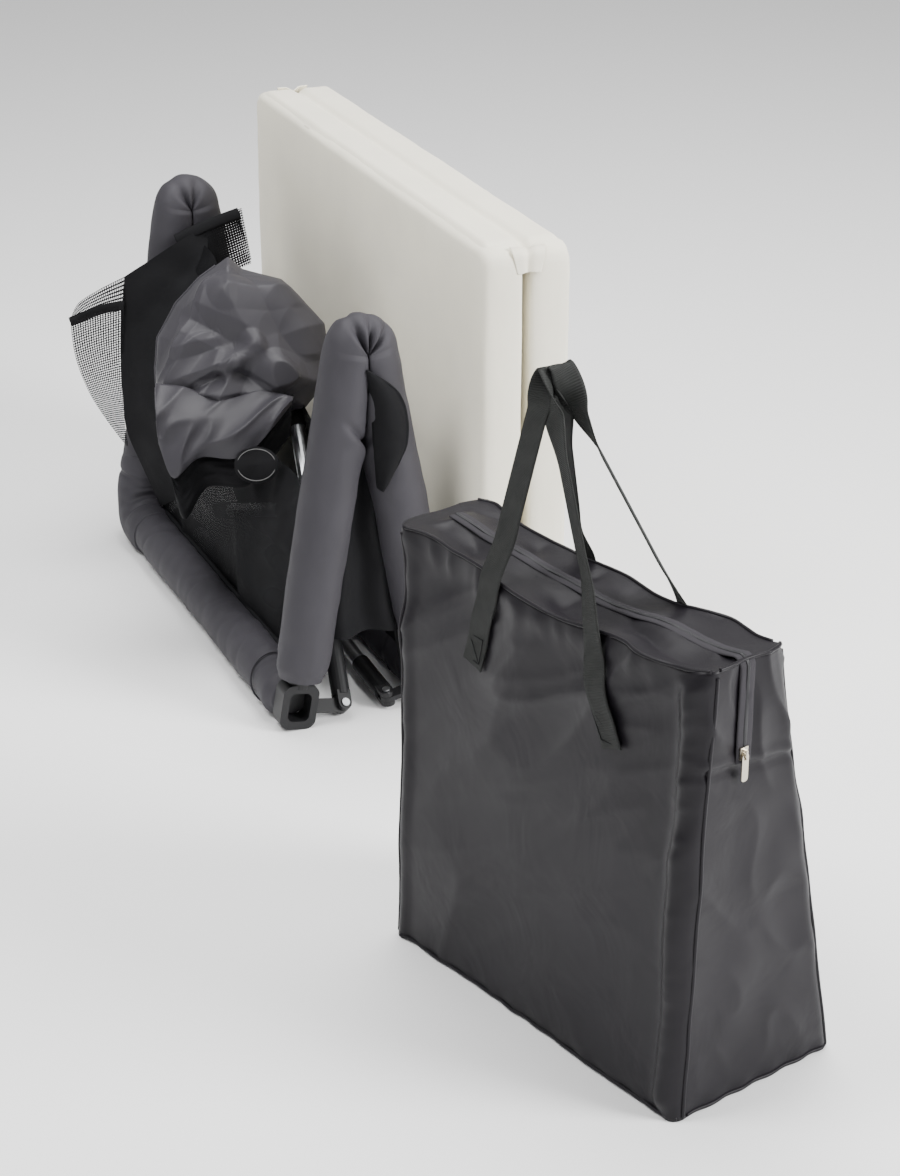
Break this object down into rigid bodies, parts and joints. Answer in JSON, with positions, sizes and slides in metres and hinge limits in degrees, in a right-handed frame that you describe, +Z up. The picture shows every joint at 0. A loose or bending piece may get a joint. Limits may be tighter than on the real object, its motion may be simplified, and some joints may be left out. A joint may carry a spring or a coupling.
{
  "type": "playpen",
  "caption": "Folding fabric playpen: padded frame folded in half, its folded mattress and its zipped carry bag with webbing handles.",
  "frame": {"origin": "on the floor, under the centre of the set", "axes": "+Z up, +Y along the folded frame's end rails away from the bag, +X from the frame towards the mattress"},
  "size_m": [0.5326, 2.1667, 0.8654],
  "materials": {
    "silver_tube": "satin",
    "black_plastic": "satin",
    "black_rubber": "matte",
    "grey_fabric": "matte",
    "grey_nylon": "satin",
    "black_mesh": "matte",
    "cream_fabric": "matte",
    "bag_nylon": "satin",
    "webbing": "matte",
    "zip_metal": "satin",
    "button_plastic": "satin"
  },
  "bodies": {
    "far_half": {"far_end_tube": "silver_tube", "far_end_sleeve": "grey_fabric", "far_mesh_wall": "black_mesh", "rail_tube_far_right": "silver_tube", "rail_sleeve_far_right": "grey_fabric", "corner_bracket_far_right": "black_plastic", "hinge_housing_far_right": "black_plastic", "leg_link_far_right": "black_plastic", "leg_rivet_far_right": "silver_tube", "rail_tube_far_left": "silver_tube", "rail_sleeve_far_left": "grey_fabric", "corner_bracket_far_left": "black_plastic", "hinge_housing_far_left": "black_plastic", "leg_link_far_left": "black_plastic", "leg_rivet_far_left": "silver_tube", "hinge_pin_right": "silver_tube", "hinge_pin_left": "silver_tube", "right_mesh_wall": "black_mesh", "left_mesh_wall": "black_mesh", "floor_fabric": "grey_nylon", "pull_tab": "webbing"},
    "near_half": {"near_end_tube": "silver_tube", "near_end_sleeve": "grey_fabric", "near_mesh_wall": "black_mesh", "rail_tube_near_right": "silver_tube", "rail_sleeve_near_right": "grey_fabric", "corner_bracket_near_right": "black_plastic", "hinge_housing_near_right": "black_plastic", "leg_link_near_right": "black_plastic", "leg_rivet_near_right": "silver_tube", "rail_tube_near_left": "silver_tube", "rail_sleeve_near_left": "grey_fabric", "corner_bracket_near_left": "black_plastic", "hinge_housing_near_left": "black_plastic", "leg_link_near_left": "black_plastic", "leg_rivet_near_left": "silver_tube"},
    "leg_near_right": {"leg_socket_near_right": "black_plastic", "leg_tube_near_right": "silver_tube", "leg_foot_near_right": "black_rubber"},
    "leg_near_left": {"leg_socket_near_left": "black_plastic", "leg_tube_near_left": "silver_tube", "leg_foot_near_left": "black_rubber"},
    "leg_far_right": {"leg_socket_far_right": "black_plastic", "leg_tube_far_right": "silver_tube", "leg_foot_far_right": "black_rubber"},
    "leg_far_left": {"leg_socket_far_left": "black_plastic", "leg_tube_far_left": "silver_tube", "leg_foot_far_left": "black_rubber"},
    "button_right": {"latch_button_far_right": "button_plastic"},
    "button_left": {"latch_button_far_left": "button_plastic"},
    "mattress": {"mattress_front_panel": "cream_fabric", "mattress_spine": "cream_fabric"},
    "mattress_back": {"mattress_back_panel": "cream_fabric"},
    "bag": {"bag_shell": "bag_nylon", "bag_zip_tape": "black_mesh"},
    "zip_slider": {"bag_zip_slider": "zip_metal"},
    "zip_pull": {"bag_zip_pull": "zip_metal"},
    "handle_front": {"bag_handle_front": "webbing"},
    "handle_back": {"bag_handle_back": "webbing"}
  },
  "joints": [
    {"name": "frame_fold", "type": "hinge", "parent": "far_half", "child": "near_half", "pos_m": [-0.065, 0.498, 0.5974], "axis": [0, 1, 0], "range_deg": [0, 160]},
    {"name": "leg_near_right_fold", "type": "hinge", "parent": "near_half", "child": "leg_near_right", "pos_m": [-0.1033, 0.078, 0.02028], "axis": [-0.1228, 0.7071, -0.6964], "range_deg": [0, 90]},
    {"name": "leg_near_left_fold", "type": "hinge", "parent": "near_half", "child": "leg_near_left", "pos_m": [-0.1033, 0.918, 0.02028], "axis": [0.173, 0.0872, 0.9811], "range_deg": [0, 90]},
    {"name": "leg_far_left_fold", "type": "hinge", "parent": "far_half", "child": "leg_far_left", "pos_m": [-0.0267, 0.918, 0.02028], "axis": [0.161, -0.3746, -0.9131], "range_deg": [0, 90]},
    {"name": "leg_far_right_fold", "type": "hinge", "parent": "far_half", "child": "leg_far_right", "pos_m": [-0.0267, 0.078, 0.02028], "axis": [-0.173, -0.0872, 0.9811], "range_deg": [0, 90]},
    {"name": "button_right_press", "type": "slide", "parent": "far_half", "child": "button_right", "axis": [-0.9848, 0, -0.1736], "range_m": [0, 0.0025], "stiffness_N_per_m": 800, "springref_m": -0.001},
    {"name": "button_left_press", "type": "slide", "parent": "far_half", "child": "button_left", "axis": [-0.9848, 0, -0.1736], "range_m": [0, 0.0025], "stiffness_N_per_m": 800, "springref_m": -0.001},
    {"name": "mattress_lift", "type": "slide", "parent": "far_half", "child": "mattress", "axis": [0, 0, 1], "range_m": [0, 0.3]},
    {"name": "mattress_unfold", "type": "hinge", "parent": "mattress", "child": "mattress_back", "pos_m": [0.18389, 0.53526, 0.767], "axis": [-0.0227, -0.9997, 0], "range_deg": [0, 180]},
    {"name": "bag_lift", "type": "slide", "parent": "far_half", "child": "bag", "axis": [0, 0, 1], "range_m": [0, 0.3]},
    {"name": "zip_slide", "type": "slide", "parent": "bag", "child": "zip_slider", "axis": [0, 0, 1], "range_m": [0, 0.1]},
    {"name": "zip_pull_swing", "type": "hinge", "parent": "zip_slider", "child": "zip_pull", "pos_m": [-0.04341, -1.06943, 0.4823], "axis": [-0.9664, -0.2571, 0], "range_deg": [0, 120]},
    {"name": "handle_front_swing", "type": "hinge", "parent": "bag", "child": "handle_front", "pos_m": [-0.17468, -0.80944, 0.605], "axis": [0.2571, -0.9664, 0], "range_deg": [0, 150]},
    {"name": "handle_back_swing", "type": "hinge", "parent": "bag", "child": "handle_back", "pos_m": [-0.05774, -0.77833, 0.605], "axis": [-0.2571, 0.9664, 0], "range_deg": [0, 150]}
  ],
  "couplings": [
    {"joint": "leg_near_right_fold", "follows": "frame_fold", "ratio": 0.5625},
    {"joint": "leg_near_left_fold", "follows": "frame_fold", "ratio": 0.5625},
    {"joint": "leg_far_left_fold", "follows": "frame_fold", "ratio": 0.5625},
    {"joint": "leg_far_right_fold", "follows": "frame_fold", "ratio": 0.5625}
  ]
}
